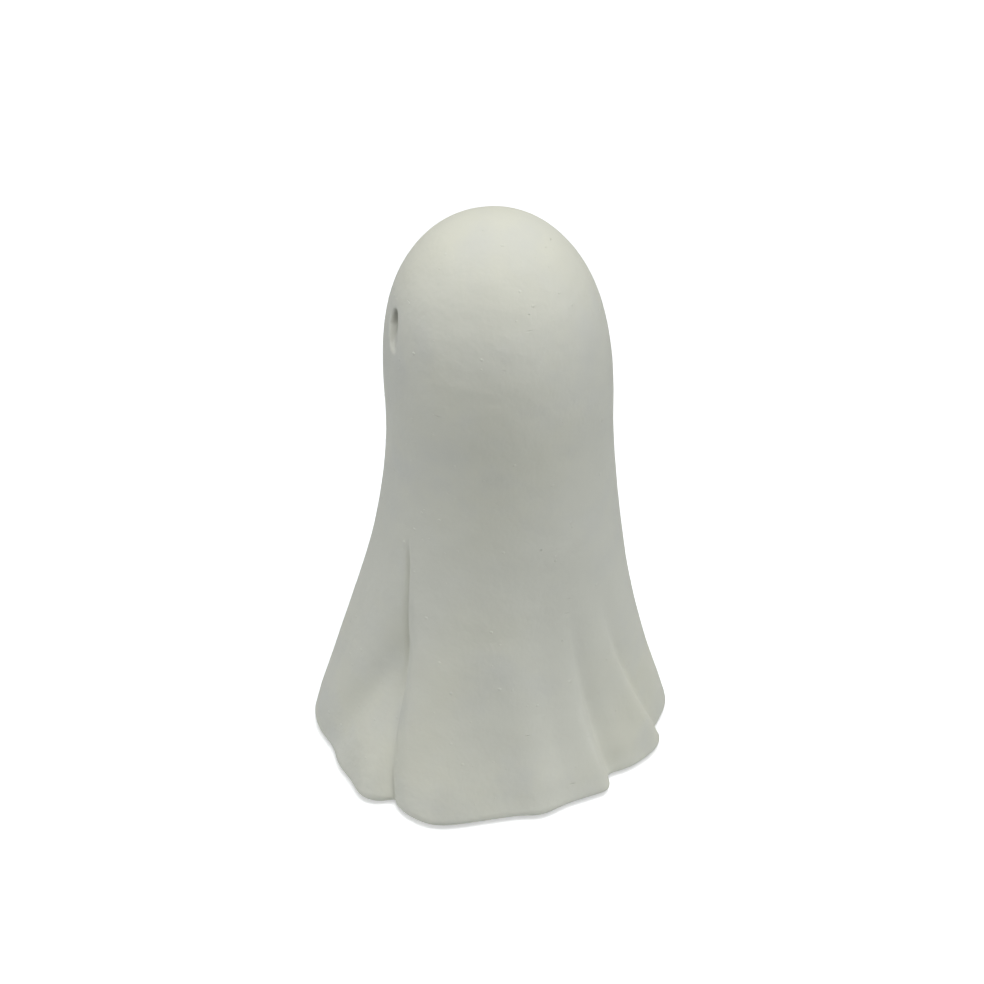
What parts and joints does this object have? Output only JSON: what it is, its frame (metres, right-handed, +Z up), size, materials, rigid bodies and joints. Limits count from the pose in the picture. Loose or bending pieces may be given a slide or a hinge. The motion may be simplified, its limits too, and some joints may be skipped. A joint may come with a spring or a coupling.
{
  "type": "ceramic ghost figure",
  "caption": "Hollow matte ceramic sheet-ghost figure with scooped oval eyes and a folded, flaring hem, standing on small felt feet.",
  "frame": {"origin": "middle of the hem on the table plane, under the felt feet", "axes": "+Z up, the figure faces -Y, and its left side is +X"},
  "size_m": [0.0938, 0.0967, 0.1508],
  "materials": {
    "bisque": "matte unglazed off-white with fine grain",
    "felt": "pressed grey felt"
  },
  "bodies": {
    "root": {"ghost_shell": "bisque", "felt_foot_left": "felt", "felt_foot_back": "felt", "felt_foot_right": "felt", "felt_foot_front": "felt"}
  },
  "joints": []
}
